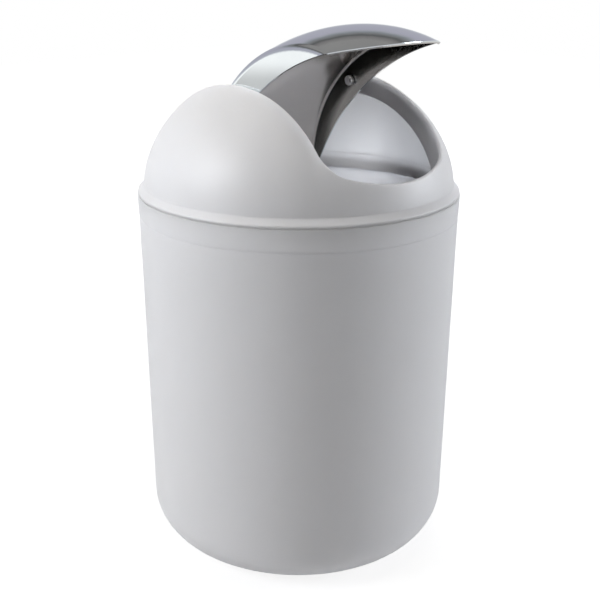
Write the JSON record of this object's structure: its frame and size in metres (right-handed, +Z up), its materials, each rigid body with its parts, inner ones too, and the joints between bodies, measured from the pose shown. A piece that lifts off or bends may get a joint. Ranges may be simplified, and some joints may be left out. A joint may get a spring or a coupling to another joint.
{
  "type": "countertop bin with swing lid",
  "caption": "Small white countertop bin with a domed lid and a chrome flap that swings on two pins, shown open.",
  "frame": {"origin": "centre of the base, on the surface that the bin stands on", "axes": "+Z up, -Y to the front of the bin, X along the hinge of the flap"},
  "size_m": [0.1405, 0.1406, 0.2357],
  "materials": {
    "body_plastic": "moulded plastic, satin white",
    "flap_chrome": "chrome plated plastic, polished",
    "pin_steel": "bright metal"
  },
  "bodies": {
    "bin": {"bin_body": "body_plastic"},
    "lid": {"dome_lid": "body_plastic", "left_pivot_pin": "pin_steel", "right_pivot_pin": "pin_steel"},
    "flap": {"swing_flap": "flap_chrome"}
  },
  "joints": [
    {"name": "lid_lift", "type": "slide", "parent": "bin", "child": "lid", "axis": [0, 0, 1], "range_m": [0, 0.06]},
    {"name": "flap_swing", "type": "hinge", "parent": "lid", "child": "flap", "pos_m": [0, 0, 0.2072], "axis": [-1, 0, 0], "range_deg": [-132.3, 47.7]}
  ]
}
